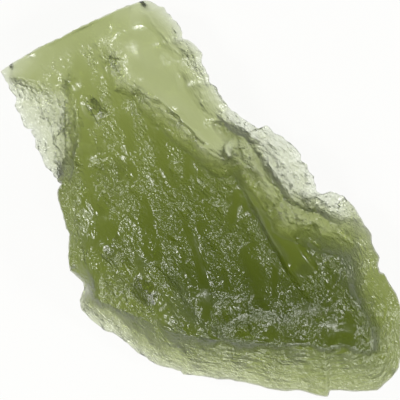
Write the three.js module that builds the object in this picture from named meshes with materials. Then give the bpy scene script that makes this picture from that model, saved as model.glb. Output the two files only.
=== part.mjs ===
// A raw moldavite: one piece of green natural glass, lying on its back.
// It is a thick tongue of glass with one clean broken end, a stepped shelf and paper-thin flanges along its sides,
// a steep bevel at the far end, and pits and smooth furrows over both faces.
//
// The solid is a skin over one grid. The grid fills the outline seen from above, and each of its points carries
// a height for the upper face and one for the underside. A narrow wall joins the two along the edge.
//
// Units are millimetres, +Z is up, and +X runs along the length, away from the broken end.

import * as THREE from "three";

// Driving dimensions
const LENGTH = 40; // between the two furthest corners
const THICKEST = 8.6; // through the thickest part
const TAPER = 0.275; // thickness lost for each millimetre away from the thickest part
const THINNEST = 0.2; // of any flange

// The places below are read off a plan of the stone as it is seen from above, x to the right and y down.
const PLAN_LENGTH = 494; // plan steps between the two furthest corners
const STEP = LENGTH / PLAN_LENGTH; // millimetres in one plan step
const PLAN_MIDDLE = [191.4, 228.8]; // the plan's place for the part's origin
const PLAN_TURN = THREE.MathUtils.degToRad(50); // the length runs this far below the plan's x direction

// Cells of the grid: along the length, and across it
const CELLS_LONG = 60;
const CELLS_WIDE = 38;
const EVENING_ROUNDS = 80; // for the grid's points
const CALMING_ROUNDS = 60; // for the sides that the grid is spread from
const BEND_REACH = 12; // cells over which a small bend of the edge fades from the grid

// The edge, clockwise on the plan from the left corner of the broken end. Each stretch has the edge's middle height
// above the table, its thickness, how far in its shoulder reaches, and how round that shoulder is (1 is a flat bevel).
// A list of values is spread evenly along the stretch.
const EDGE = {
  brokenEnd: {
    height: [2.6, 2.3, 2.4], thickness: [0.5, 2.3, 2.5, 1.3], shoulder: [1.6, 2.6, 1.6], roundness: [1.6],
    points: [[2, 72], [20, 61], [42, 48], [60, 40], [80, 29], [100, 20], [120, 11], [138, 4]],
  },
  topCorner: {
    height: [2.7, 2.9], thickness: [0.5, 0.25], shoulder: [1.8], roundness: [1.1],
    points: [[146, 2], [155, 4], [163, 9], [173, 19], [181, 26], [183, 32], [183, 37], [188, 41], [195, 47]],
  },
  shelfEdge: {
    height: [2.8, 2.3], thickness: [0.4, 0.6], shoulder: [2.2], roundness: [1.4],
    points: [[201, 56], [206, 67], [209, 76], [209, 83], [215, 91], [220, 101], [225, 109]],
  },
  thinFlange: {
    height: [2.2, 2.9, 3.1, 2.6, 2.2], thickness: [0.25], shoulder: [1.4], roundness: [1.2],
    points: [
      [230, 113], [236, 114], [242, 117], [249, 121], [255, 127], [260, 131], [266, 129],
      [271, 131], [278, 136], [286, 142], [294, 148], [300, 155], [300, 161], [307, 166],
      [310, 171], [315, 176], [315, 184], [318, 190], [323, 192], [330, 190], [338, 195],
    ],
  },
  rightFlank: {
    height: [1.9, 2.4, 2.4], thickness: [0.8, 3.6, 3.8], shoulder: [2.4, 3.4, 3, 1.8], roundness: [1.15],
    points: [
      [348, 204], [357, 216], [363, 227], [369, 235], [370, 243], [374, 251], [378, 257], [376, 266],
      [378, 273], [383, 274], [388, 284], [394, 294], [398, 306], [399, 322], [398, 338], [398, 352],
      [396, 366],
    ],
  },
  bevelFoot: {
    height: [2, 1.7, 1.5, 1.6], thickness: [2.4, 2.3, 1.3, 0.9, 0.8], shoulder: [2.2, 3.7, 3.5, 2.8, 2],
    roundness: [1, 1, 1.1],
    points: [
      [391, 376], [383, 383], [377, 389], [360, 390], [342, 389], [329, 389], [327, 395], [316, 393],
      [300, 389], [285, 389], [268, 386], [250, 382], [230, 378], [210, 376], [195, 374], [184, 372],
      [182, 369], [168, 366], [156, 362], [148, 357], [139, 352], [130, 345], [123, 338],
      [112, 332], [100, 325], [91, 319],
    ],
  },
  lobe: {
    height: [1.8], thickness: [0.9], shoulder: [1.1], roundness: [1.6],
    points: [[83, 310], [81, 301], [83, 293], [85, 287]],
  },
  notch: {
    height: [2.3], thickness: [3.4], shoulder: [1.2], roundness: [1.6],
    points: [[85, 282], [82, 278], [77, 274], [72, 270]],
  },
  leftFlank: {
    height: [2.6, 2.5], thickness: [4.6, 4.2], shoulder: [1.3], roundness: [1.7],
    points: [[72, 265], [71, 255], [70, 243], [71, 234], [67, 221], [64, 210], [60, 198], [59, 190], [63, 184]],
  },
  leftFlange: {
    height: [2.3, 2.7], thickness: [0.3], shoulder: [1.6], roundness: [1.3],
    points: [
      [58, 178], [51, 171], [44, 160], [39, 152], [34, 147], [36, 138], [35, 129], [27, 124],
      [20, 116], [14, 105], [14, 99], [9, 87], [3, 75],
    ],
  },
};

// The four sides of the grid, each from its low corner to its high one, with the stretches that it runs along
const SIDES = {
  end: ["brokenEnd"],
  right: ["topCorner", "shelfEdge", "thinFlange", "rightFlank"],
  foot: ["bevelFoot"],
  left: ["lobe", "notch", "leftFlank", "leftFlange"],
};

// The crest: the line along which the glass is thickest
const CREST = [[205, 285], [260, 300], [312, 300]];

// Lower ground. Inside its border the glass is only this thick, and a wall of this width climbs outside it.
const TERRACES = {
  shelf: {
    thickness: 2.2, wall: 1.6,
    border: [
      [124, 30], [111, 40], [118, 54], [131, 77], [146, 91], [160, 104], [176, 118], [190, 130], [206, 145],
      [221, 156], [226, 148], [214, 134], [209, 121], [226, 117], [250, 100], [230, 40], [190, -10], [140, -12],
    ],
  },
  upperLeft: {
    thickness: 2.4, wall: 1.8,
    border: [[46, 44], [54, 54], [51, 70], [50, 86], [55, 106], [40, 120], [0, 120], [-20, 60], [30, 30]],
  },
  lowerLeft: {
    thickness: 1.1, wall: 1.9,
    border: [[50, 106], [54, 120], [55, 142], [54, 154], [50, 168], [46, 180], [36, 190], [0, 140], [0, 104]],
  },
  middleStep: {
    thickness: 3.3, wall: 1.5,
    border: [
      [238, 122], [246, 140], [251, 158], [263, 183], [276, 199], [289, 222], [312, 224], [340, 236],
      [360, 200], [300, 130], [250, 110],
    ],
  },
  flange: {
    thickness: 1, wall: 0.8,
    border: [
      [226, 112], [240, 126], [257, 138], [264, 150], [272, 162], [282, 180], [300, 196], [320, 203],
      [344, 216], [380, 200], [330, 140], [270, 100],
    ],
  },
  lowerCorner: {
    thickness: 4.8, wall: 4.5,
    border: [
      [92, 296], [112, 304], [128, 316], [150, 334], [156, 352], [126, 350], [90, 345], [60, 310], [78, 292],
    ],
  },
  lobeTop: {
    thickness: 3, wall: 0.5,
    border: [[92, 302], [108, 309], [122, 320], [128, 330], [126, 345], [90, 345], [60, 310], [78, 298]],
  },
  rightSlope: {
    thickness: 5.5, wall: 0.9,
    border: [
      [346, 228], [352, 246], [360, 262], [362, 284], [368, 302], [378, 320], [384, 344], [420, 350],
      [420, 200], [350, 190],
    ],
  },
  bevel: {
    thickness: 5.5, wall: 0.35,
    border: [
      [126, 330], [148, 340], [170, 344], [186, 340], [206, 347], [226, 343], [240, 350], [262, 346], [280, 351],
      [300, 345], [322, 351], [344, 347], [362, 352], [380, 350], [410, 352], [410, 420], [110, 420],
    ],
  },
};

// Smooth furrows, with their width and depth, and how flat the floor is (1 is round). Each one dies out towards
// its last place.
const FURROWS = [
  {
    width: 2.6, depth: 1, flatness: 2.2,
    path: [[236, 150], [254, 184], [266, 208], [279, 234], [294, 260], [318, 292]],
  },
  { width: 1.8, depth: 0.15, flatness: 1, path: [[213, 128], [222, 140], [236, 152]] },
  { width: 1.8, depth: 0.25, flatness: 1, path: [[237, 194], [233, 216], [227, 240]] },
  { width: 1.6, depth: 0.12, flatness: 1, path: [[242, 250], [249, 272], [259, 291]] },
  { width: 1.6, depth: 0.12, flatness: 1, path: [[274, 266], [272, 288], [279, 308]] },
  { width: 1.8, depth: 0.12, flatness: 1, path: [[148, 114], [152, 134], [149, 154]] },
  { width: 1.8, depth: 0.12, flatness: 1, path: [[191, 156], [187, 178], [183, 196]] },
  { width: 2, depth: 0.12, flatness: 1, path: [[193, 240], [203, 272], [207, 306], [200, 338]] },
  { width: 1.6, depth: 0.12, flatness: 1, path: [[139, 254], [142, 282]] },
];
const FURROW_FADE = 1.3; // widths over which a furrow dies out

// Sharp crests, with their width and height
const CREASES = [
  { width: 1.2, height: 0.4, path: [[258, 160], [270, 180], [284, 204], [298, 232]] },
  { width: 2.4, height: 0.2, path: [[158, 58], [174, 86], [190, 104], [204, 112]] },
  { width: 1.6, height: 0.5, path: [[220, 326], [236, 313], [256, 306], [282, 312]] },
  { width: 1.4, height: 0.4, path: [[252, 214], [266, 238], [282, 262]] },
  { width: 2.2, height: 0.2, path: [[166, 22], [176, 46], [194, 66], [206, 92]] },
];

// Pits of the upper face: place, radius along and across the stone's length, and depth
const UPPER_PITS = [
  [102, 131, 0.8, 0.5, 0.3],
  [122, 150, 0.9, 0.6, 0.35], [138, 189, 1, 0.6, 0.45], [118, 216, 1.2, 0.9, 0.5], [160, 176, 0.9, 0.6, 0.4],
  [175, 170, 0.9, 0.6, 0.45], [97, 164, 0.9, 0.6, 0.35], [92, 196, 0.9, 0.7, 0.4], [106, 246, 0.9, 0.7, 0.4],
  [126, 264, 0.9, 0.6, 0.5], [160, 268, 1.4, 0.9, 0.5], [172, 286, 1, 0.7, 0.4], [136, 296, 1, 0.7, 0.55],
  [158, 300, 0.7, 0.6, 0.4], [161, 326, 1.1, 0.7, 0.55], [150, 214, 0.8, 0.6, 0.35], [176, 236, 1, 0.6, 0.4],
  [222, 210, 1, 0.7, 0.5], [214, 240, 0.9, 0.7, 0.5], [207, 190, 0.9, 0.6, 0.45], [228, 306, 1.2, 0.9, 0.6],
  [242, 326, 1.1, 0.8, 0.55], [262, 266, 0.9, 0.7, 0.5], [280, 274, 0.7, 0.5, 0.4], [311, 249, 0.9, 0.7, 0.5],
  [270, 328, 0.9, 0.7, 0.5], [317, 311, 0.8, 0.7, 0.45], [303, 291, 0.8, 0.6, 0.4], [332, 330, 0.9, 0.7, 0.45],
  [346, 312, 0.8, 0.6, 0.4], [340, 276, 0.9, 0.6, 0.4], [362, 330, 0.8, 0.7, 0.4], [186, 212, 0.8, 0.6, 0.4],
];

// Pits of the underside, the same way
const UNDER_PITS = [
  [70, 80, 1.4, 1, 0.5], [110, 60, 1.2, 0.9, 0.45], [96, 110, 1.5, 1, 0.5], [140, 96, 1.3, 0.9, 0.5],
  [88, 156, 1.2, 1, 0.5], [120, 172, 1.3, 0.9, 0.4], [176, 118, 1.2, 0.9, 0.45], [96, 214, 1.4, 1, 0.55],
  [112, 256, 1.2, 0.9, 0.5], [146, 292, 1.4, 1, 0.5], [130, 316, 1, 0.8, 0.4], [186, 334, 1.5, 1, 0.55],
  [240, 352, 1.4, 0.9, 0.5], [294, 350, 1.4, 1, 0.55], [344, 344, 1.3, 1, 0.5], [352, 296, 1.4, 1, 0.5],
  [318, 250, 1.3, 0.9, 0.5], [276, 206, 1.4, 1, 0.5], [230, 160, 1.3, 0.9, 0.45], [186, 78, 1.1, 0.8, 0.4],
];

// The flat spot that the stone rests on, and how the underside climbs away from it
const RESTING_SPOT = { path: [[166, 188], [256, 270]], radius: 2.5 };
const UNDER_CLIMB = 0.038;
const UNDER_CURVE = 1.55; // power of the distance from the resting spot
const UNDER_SHOULDER = 5; // width of the margin where the underside climbs to the edge

// Broad swells of the two faces
const SWELL_HEIGHT = 0.1;
const SWELL_LENGTHS = [5.2, 3.4]; // crest to crest, along and across the stone

const clamp = (value) => Math.min(Math.max(value, 0), 1);
const mix = (a, b, share) => a + (b - a) * share;
const eased = (share) => clamp(share) ** 2 * (3 - 2 * clamp(share));

// The part's x and y for a place on the plan
function toPart([planX, planY]) {
  const right = (planX - PLAN_MIDDLE[0]) * STEP;
  const down = (planY - PLAN_MIDDLE[1]) * STEP;
  return [
    right * Math.cos(PLAN_TURN) + down * Math.sin(PLAN_TURN),
    right * Math.sin(PLAN_TURN) - down * Math.cos(PLAN_TURN),
  ];
}

// Distance from a place to a path of straight pieces
function distanceToPath([x, y], path) {
  let nearest = Infinity;
  for (let i = 1; i < path.length; i++) {
    const [ax, ay] = path[i - 1];
    const [bx, by] = path[i];
    const share = clamp(((x - ax) * (bx - ax) + (y - ay) * (by - ay)) / ((bx - ax) ** 2 + (by - ay) ** 2));
    nearest = Math.min(nearest, Math.hypot(x - mix(ax, bx, share), y - mix(ay, by, share)));
  }
  return nearest;
}

// True where a place is inside a closed border
function isInside([x, y], border) {
  let inside = false;
  border.forEach(([bx, by], i) => {
    const [ax, ay] = border.at(i - 1);
    if (ay > y !== by > y && x < ax + ((bx - ax) * (y - ay)) / (by - ay)) inside = !inside;
  });
  return inside;
}

// A value from a list spread evenly along a stretch, at a share of the stretch
function alongStretch(values, share) {
  const at = share * (values.length - 1);
  const i = Math.min(Math.floor(at), values.length - 2);
  return values.length === 1 ? values[0] : mix(values[i], values[i + 1], at - i);
}

const PROPERTIES = ["height", "thickness", "shoulder", "roundness"];

// The outline's corners: a place in the part's frame with the edge's properties there
const corners = Object.entries(EDGE).flatMap(([stretch, edge]) =>
  edge.points.map((point, i) => ({
    stretch,
    place: toPart(point),
    ...Object.fromEntries(
      PROPERTIES.map((name) => [name, alongStretch(edge[name], i / (edge.points.length - 1))]),
    ),
  })),
);
const outline = corners.map((corner) => corner.place);
const closedOutline = [...outline, outline[0]];

// A side of the grid: evenly spaced points along its stretches, up to where the next side starts
function sidePoints(stretches, cells) {
  const first = corners.findIndex((corner) => corner.stretch === stretches[0]);
  const count = corners.filter((corner) => stretches.includes(corner.stretch)).length;
  const run = Array.from({ length: count + 1 }, (_, i) => corners[(first + i) % corners.length]);
  const reach = [0];
  for (let i = 1; i < run.length; i++) {
    const [ax, ay] = run[i - 1].place;
    const [bx, by] = run[i].place;
    reach.push(reach[i - 1] + Math.hypot(bx - ax, by - ay));
  }
  return Array.from({ length: cells + 1 }, (_, k) => {
    const target = (reach.at(-1) * k) / cells;
    const i = Math.min(reach.findIndex((length) => length >= target - 1e-9) || 1, run.length - 1);
    const share = (target - reach[i - 1]) / (reach[i] - reach[i - 1]);
    const point = { place: [0, 1].map((axis) => mix(run[i - 1].place[axis], run[i].place[axis], share)) };
    PROPERTIES.forEach((name) => (point[name] = mix(run[i - 1][name], run[i][name], share)));
    return point;
  });
}

// The places along a side with its small bends taken out and its two ends kept
function calmed(side) {
  let places = side.map((point) => point.place);
  for (let round = 0; round < CALMING_ROUNDS; round++) {
    places = places.map((place, i) => {
      const isEnd = i === 0 || i === places.length - 1;
      return isEnd ? place : [0, 1].map((axis) => (places[i - 1][axis] + 2 * place[axis] + places[i + 1][axis]) / 4);
    });
  }
  return places;
}

// How much of a bend of the edge is left this many cells away from it
const bendShare = (cells) => Math.max(1 - cells / BEND_REACH, 0) ** 2;

// The grid of places, row by row from the broken end. It is blended from the four calmed sides and evened out,
// and then the bends of the edge are put back, less and less of them towards the middle.
function planGrid(end, right, foot, left) {
  const rows = CELLS_LONG;
  const columns = CELLS_WIDE;
  const [calmEnd, calmRight, calmFoot, calmLeft] = [end, right, foot, left].map(calmed);
  const blend = (axis, i, j) => {
    const u = i / rows;
    const v = j / columns;
    const alongLength = mix(calmLeft[i][axis], calmRight[i][axis], v);
    const acrossLength = mix(calmEnd[j][axis], calmFoot[j][axis], u);
    const cornersOnly = mix(
      mix(calmEnd[0][axis], calmEnd[columns][axis], v),
      mix(calmFoot[0][axis], calmFoot[columns][axis], v),
      u,
    );
    return alongLength + acrossLength - cornersOnly;
  };
  const grid = Array.from({ length: rows + 1 }, (_, i) =>
    Array.from({ length: columns + 1 }, (_, j) => [blend(0, i, j), blend(1, i, j)]),
  );
  for (let round = 0; round < EVENING_ROUNDS; round++) {
    for (let i = 1; i < rows; i++) {
      for (let j = 1; j < columns; j++) {
        grid[i][j] = [0, 1].map(
          (axis) =>
            (grid[i - 1][j][axis] + grid[i + 1][j][axis] + grid[i][j - 1][axis] + grid[i][j + 1][axis]) / 4,
        );
      }
    }
  }
  return grid.map((row, i) =>
    row.map((place, j) =>
      place.map(
        (value, axis) =>
          value +
          bendShare(j) * (left[i].place[axis] - calmLeft[i][axis]) +
          bendShare(columns - j) * (right[i].place[axis] - calmRight[i][axis]) +
          bendShare(i) * (end[j].place[axis] - calmEnd[j][axis]) +
          bendShare(rows - i) * (foot[j].place[axis] - calmFoot[j][axis]),
      ),
    ),
  );
}

// The edge's properties felt at a place: an average of all of the edge, in which the nearest part counts for most
function nearbyEdge([x, y]) {
  const sums = Object.fromEntries(PROPERTIES.map((name) => [name, 0]));
  let total = 0;
  for (const corner of corners) {
    const weight = 1 / (Math.hypot(x - corner.place[0], y - corner.place[1]) + 0.05) ** 4;
    total += weight;
    PROPERTIES.forEach((name) => (sums[name] += weight * corner[name]));
  }
  PROPERTIES.forEach((name) => (sums[name] /= total));
  return sums;
}

const inPart = (path) => path.map(toPart);
const crest = inPart(CREST);
const terraces = Object.values(TERRACES).map((terrace) => ({ ...terrace, border: inPart(terrace.border) }));
const furrows = FURROWS.map((furrow) => ({ ...furrow, path: inPart(furrow.path) }));
const creases = CREASES.map((crease) => ({ ...crease, path: inPart(crease.path) }));
const restingPath = inPart(RESTING_SPOT.path);
const upperPits = UPPER_PITS.map(([x, y, ...sizes]) => [...toPart([x, y]), ...sizes]);
const underPits = UNDER_PITS.map(([x, y, ...sizes]) => [...toPart([x, y]), ...sizes]);

// Depth of the pits at a place: each one is a bowl with a soft rim
function pitDepth([x, y], pits) {
  let depth = 0;
  for (const [pitX, pitY, along, across, deepest] of pits) {
    depth = Math.max(depth, deepest * clamp(1 - ((x - pitX) / along) ** 2 - ((y - pitY) / across) ** 2) ** 2);
  }
  return depth;
}

// Broad swells, the same everywhere but never in step along and across
function swell([x, y], phase) {
  const [along, across] = SWELL_LENGTHS.map((length) => (2 * Math.PI) / length);
  return SWELL_HEIGHT * Math.sin(along * x + phase + Math.sin(0.7 * y)) * Math.sin(across * y + 2 * phase);
}

// Thickness of the glass at a place
function thicknessAt(place, edge, inward) {
  let thickness = THICKEST - TAPER * distanceToPath(place, crest);
  for (const { border, wall, thickness: low } of terraces) {
    const away = distanceToPath(place, [...border, border[0]]);
    const share = isInside(place, border) ? 1 : clamp(1 - away / wall);
    thickness = mix(thickness, Math.min(low, thickness), share);
  }
  for (const { path, width, depth, flatness } of furrows) {
    const [endX, endY] = path.at(-1);
    const fade = eased(Math.hypot(place[0] - endX, place[1] - endY) / (FURROW_FADE * width));
    thickness -= depth * fade * eased(flatness * (1 - distanceToPath(place, path) / (width / 2)));
  }
  for (const { path, width, height } of creases) {
    thickness += height * clamp(1 - distanceToPath(place, path) / (width / 2));
  }
  thickness += swell(place, 0.4) - pitDepth(place, upperPits);
  const shoulder = 1 - (1 - clamp(inward / edge.shoulder)) ** edge.roundness;
  return Math.max(mix(edge.thickness, thickness, shoulder), THINNEST);
}

// Height of the underside at a place
function undersideAt(place, edge, inward) {
  const away = Math.max(distanceToPath(place, restingPath) - RESTING_SPOT.radius, 0);
  const body = UNDER_CLIMB * away ** UNDER_CURVE + clamp(away) * (swell(place, 1.9) + pitDepth(place, underPits));
  const margin = eased(inward / UNDER_SHOULDER);
  return Math.max(mix(edge.height - edge.thickness / 2, body, margin), 0);
}

// The closed skin: upper face, underside and the wall between them, with three corners to a triangle
function stoneGeometry() {
  const end = sidePoints(SIDES.end, CELLS_WIDE);
  const right = sidePoints(SIDES.right, CELLS_LONG);
  const foot = sidePoints(SIDES.foot, CELLS_WIDE).reverse();
  const left = sidePoints(SIDES.left, CELLS_LONG).reverse();
  const grid = planGrid(end, right, foot, left);

  const edgeOf = (i, j) => {
    if (i === 0) return end[j];
    if (i === CELLS_LONG) return foot[j];
    if (j === 0) return left[i];
    return j === CELLS_WIDE ? right[i] : null;
  };
  const upper = [];
  const under = [];
  grid.forEach((row, i) =>
    row.forEach((place, j) => {
      const rim = edgeOf(i, j);
      const edge = rim ?? nearbyEdge(place);
      const inward = rim ? 0 : distanceToPath(place, closedOutline);
      const bottom = undersideAt(place, edge, inward);
      under.push(...place, bottom);
      upper.push(...place, bottom + thicknessAt(place, edge, inward));
    }),
  );

  const across = CELLS_WIDE + 1;
  const faceSize = grid.length * across;
  const triangles = [];
  const addQuad = (a, b, c, d) => triangles.push(a, b, c, a, c, d);
  for (let i = 0; i < CELLS_LONG; i++) {
    for (let j = 0; j < CELLS_WIDE; j++) {
      const a = i * across + j;
      addQuad(a, a + across, a + across + 1, a + 1);
      addQuad(faceSize + a, faceSize + a + 1, faceSize + a + across + 1, faceSize + a + across);
    }
  }
  const wall = (a, b) => addQuad(a, b, faceSize + b, faceSize + a);
  for (let j = 0; j < CELLS_WIDE; j++) {
    wall(j, j + 1);
    wall(CELLS_LONG * across + j + 1, CELLS_LONG * across + j);
  }
  for (let i = 0; i < CELLS_LONG; i++) {
    wall((i + 1) * across, i * across);
    wall(i * across + CELLS_WIDE, (i + 1) * across + CELLS_WIDE);
  }

  const geometry = new THREE.BufferGeometry();
  geometry.setAttribute("position", new THREE.Float32BufferAttribute([...upper, ...under], 3));
  geometry.setIndex(triangles);
  geometry.computeVertexNormals();
  return geometry;
}

// Clear bottle-green glass
const glass = new THREE.MeshStandardMaterial({
  color: new THREE.Color(0.36, 0.45, 0.16),
  roughness: 0.25,
  metalness: 0,
  transparent: true,
  opacity: 0.8,
});

const moldavite = new THREE.Mesh(stoneGeometry(), glass);
moldavite.name = "moldavite";

const stone = new THREE.Group();
stone.add(moldavite);

export default stone;
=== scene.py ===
# %% [markdown]
# A raw moldavite is a splash of green natural glass. Ground water has etched its skin into pits and
# furrows, an old break has left one clean end, and its sides run out into flanges as thin and clear as
# window glass. Such a stone could be sculpted by hand or scanned. Here it is worked out instead: every
# height is a formula of a place on the stone, so any feature can be moved or deepened by changing one named
# value. The imported model gives the real size: its box sets the stone's scale and its middle.

# %% The imported model
import math
import bpy
import numpy as np
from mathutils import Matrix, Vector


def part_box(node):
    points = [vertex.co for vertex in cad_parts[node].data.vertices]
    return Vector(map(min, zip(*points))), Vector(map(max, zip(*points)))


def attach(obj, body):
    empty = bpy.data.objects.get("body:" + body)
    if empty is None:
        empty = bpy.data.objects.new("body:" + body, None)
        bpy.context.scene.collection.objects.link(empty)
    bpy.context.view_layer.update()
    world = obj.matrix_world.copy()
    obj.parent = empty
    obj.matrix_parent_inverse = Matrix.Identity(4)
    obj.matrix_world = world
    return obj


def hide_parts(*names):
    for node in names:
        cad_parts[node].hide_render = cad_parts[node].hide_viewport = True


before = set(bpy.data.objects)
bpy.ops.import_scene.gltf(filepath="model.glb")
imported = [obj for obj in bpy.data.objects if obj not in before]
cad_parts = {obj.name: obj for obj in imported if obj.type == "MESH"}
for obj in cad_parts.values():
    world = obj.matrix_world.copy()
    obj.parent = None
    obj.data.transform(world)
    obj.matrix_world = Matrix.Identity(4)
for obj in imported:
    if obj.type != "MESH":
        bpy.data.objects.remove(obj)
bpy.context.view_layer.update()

MM = 0.001
stone_low, stone_high = (np.array(corner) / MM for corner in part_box("moldavite"))
print("box of the packed stone, mm:", np.round(stone_low, 2), np.round(stone_high, 2))

# %% [markdown]
# The edge is what the eye knows the stone by. It could be one drawn curve, but the glass changes along it:
# it is two millimetres thick at the break and a quarter of that at the flanges. So the edge is a run of
# stretches on a plan seen from above, x to the right and y down. Each stretch also carries the edge's
# height and thickness in mm, how far in its shoulder reaches, how round that shoulder is and how wrinkled
# the skin is there.

# %% The edge of the stone
EDGE = {
    "broken_end": dict(
        height=[2.6, 2.3, 2.4], thickness=[0.5, 2.3, 2.5, 1.3], shoulder=[1.6, 2.6, 1.6], roundness=[1.6],
        wrinkles=[0],
        points=[(2, 72), (20, 61), (42, 48), (60, 40), (80, 29), (100, 20), (120, 11), (138, 4)],
    ),
    "top_corner": dict(
        height=[2.7, 2.9], thickness=[0.5, 0.25], shoulder=[1.8], roundness=[1.1], wrinkles=[0.3],
        points=[
            (146, 2), (155, 4), (163, 9), (173, 19), (181, 26), (183, 32), (183, 37), (188, 41), (195, 47),
        ],
    ),
    "shelf_edge": dict(
        height=[2.8, 2.3], thickness=[0.4, 0.6], shoulder=[2.2], roundness=[1.4], wrinkles=[0.3],
        points=[(201, 56), (206, 67), (209, 76), (209, 83), (215, 91), (220, 101), (225, 109)],
    ),
    "thin_flange": dict(
        height=[2.2, 2.9, 3.1, 2.6, 2.2], thickness=[0.25], shoulder=[1.4], roundness=[1.2], wrinkles=[0.8],
        points=[
            (230, 113), (236, 114), (242, 117), (249, 121), (255, 127), (260, 131), (266, 129), (271, 131),
            (278, 136), (286, 142), (294, 148), (300, 155), (300, 161), (307, 166), (310, 171), (315, 176),
            (315, 184), (318, 190), (323, 192), (330, 190), (338, 195),
        ],
    ),
    "right_flank": dict(
        height=[1.9, 2.4, 2.4], thickness=[0.8, 3.6, 3.8], shoulder=[2.4, 3.4, 3, 1.8], roundness=[1.15],
        wrinkles=[0.6, 1],
        points=[
            (348, 204), (357, 216), (363, 227), (369, 235), (370, 243), (374, 251), (378, 257), (376, 266),
            (378, 273), (383, 274), (388, 284), (394, 294), (398, 306), (399, 322), (398, 338), (398, 352),
            (396, 366),
        ],
    ),
    "bevel_foot": dict(
        height=[2, 1.7, 1.5, 1.6], thickness=[2.4, 2.3, 1.3, 0.9, 0.8], shoulder=[2.2, 3.7, 3.5, 2.8, 2],
        roundness=[1, 1, 1.1],
        wrinkles=[1.5, 1.3, 0.5],
        points=[
            (391, 376), (383, 383), (377, 389), (360, 390), (342, 389), (329, 389), (327, 395), (316, 393),
            (300, 389), (285, 389), (268, 386), (250, 382), (230, 378), (210, 376), (195, 374), (184, 372),
            (182, 369), (168, 366), (156, 362), (148, 357), (139, 352), (130, 345), (123, 338), (112, 332),
            (100, 325), (91, 319),
        ],
    ),
    "lobe": dict(
        height=[1.8], thickness=[0.9], shoulder=[1.1], roundness=[1.6], wrinkles=[0.4],
        points=[(83, 310), (81, 301), (83, 293), (85, 287)],
    ),
    "notch": dict(
        height=[2.3], thickness=[3.4], shoulder=[1.2], roundness=[1.6], wrinkles=[0.6],
        points=[(85, 282), (82, 278), (77, 274), (72, 270)],
    ),
    "left_flank": dict(
        height=[2.6, 2.5], thickness=[4.6, 4.2], shoulder=[1.3], roundness=[1.7], wrinkles=[0.6],
        points=[
            (72, 265), (71, 255), (70, 243), (71, 234), (67, 221), (64, 210), (60, 198), (59, 190),
            (63, 184),
        ],
    ),
    "left_flange": dict(
        height=[2.3, 2.7], thickness=[0.3], shoulder=[1.6], roundness=[1.3], wrinkles=[0.6],
        points=[
            (58, 178), (51, 171), (44, 160), (39, 152), (34, 147), (36, 138), (35, 129), (27, 124),
            (20, 116), (14, 105), (14, 99), (9, 87), (3, 75),
        ],
    ),
}
PROPERTIES = ("height", "thickness", "shoulder", "roundness", "wrinkles")
PLAN_TURN = math.radians(50)  # the stone's length runs this far below the plan's x direction


def turned(points):
    """Plan places turned so that x is the stone's length: each is split along the turned directions."""
    points = np.asarray(points, float)
    right, down = points[..., 0], points[..., 1]
    across = right * math.sin(PLAN_TURN) - down * math.cos(PLAN_TURN)
    return np.stack([right * math.cos(PLAN_TURN) + down * math.sin(PLAN_TURN), across], axis=-1)


turned_edge = turned([point for edge in EDGE.values() for point in edge["points"]])
plan_low, plan_high = turned_edge.min(axis=0), turned_edge.max(axis=0)
STEP = (stone_high[0] - stone_low[0]) / (plan_high[0] - plan_low[0])  # millimetres in one step of the plan
PLAN_MIDDLE = (plan_low + plan_high) / 2
STONE_MIDDLE = (stone_low[:2] + stone_high[:2]) / 2


def to_stone(points):
    """Places on the stone, in mm, for places on the plan: turned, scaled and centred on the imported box."""
    return (turned(points) - PLAN_MIDDLE) * STEP + STONE_MIDDLE


print("stretches of the edge:", len(EDGE), "- one step of the plan is", round(STEP, 5), "mm")

# %% [markdown]
# The stone's skin is one grid of two parameters, u from the broken end to the bevelled foot and v across. A
# polar grid would crowd its points in the middle, and a square net would leave the edge in stairs. This
# grid is spread between the four sides of the outline, like a sheet in a frame, so its rows follow the
# edge. Fine glass needs fine steps: about an eighth of a millimetre each way.

# %% Points along the four sides
ROWS, COLUMNS = 270, 165
SIDES = {
    "end": ["broken_end"],
    "right": ["top_corner", "shelf_edge", "thin_flange", "right_flank"],
    "foot": ["bevel_foot"],
    "left": ["lobe", "notch", "left_flank", "left_flange"],
}
stretch_of_corner = [name for name, edge in EDGE.items() for point in edge["points"]]
corner_places = to_stone([point for edge in EDGE.values() for point in edge["points"]])
corner_values = np.concatenate([
    np.stack([
        np.interp(np.linspace(0, 1, len(edge["points"])), np.linspace(0, 1, len(edge[name])), edge[name])
        for name in PROPERTIES
    ], axis=-1)
    for edge in EDGE.values()
])
outline = np.vstack([corner_places, corner_places[:1]])


def reach_along(path):
    """How far each place of a path is from its start: the sum of the steps up to it."""
    return np.concatenate([[0], np.cumsum(np.hypot(*np.diff(path, axis=0).T))])


def side_points(stretches, cells):
    """Evenly spaced places along a side and the edge's values there, both read off the side by its
    length."""
    first = stretch_of_corner.index(stretches[0])
    count = sum(name in stretches for name in stretch_of_corner)
    run = np.arange(first, first + count + 1) % len(corner_places)
    places, values = corner_places[run], corner_values[run]
    reach = reach_along(places)
    at = np.linspace(0, reach[-1], cells + 1)
    read = lambda table: np.stack([np.interp(at, reach, column) for column in table.T], axis=-1)
    return read(places), read(values)


end_side, end_values = side_points(SIDES["end"], COLUMNS)
right_side, right_values = side_points(SIDES["right"], ROWS)
foot_side, foot_values = (table[::-1] for table in side_points(SIDES["foot"], COLUMNS))
left_side, left_values = (table[::-1] for table in side_points(SIDES["left"], ROWS))
print("the edge is", round(reach_along(outline)[-1], 1), "mm long")

# %% [markdown]
# A real edge of broken glass is never smooth: it is nibbled into small scallops where flakes have come off.
# They could be added by a noise modifier, but that would tear the thin flanges. Instead the side's own
# points move in and out along the plan before the grid is spread, more on the flanges and hardly on the
# clean break.

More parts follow.
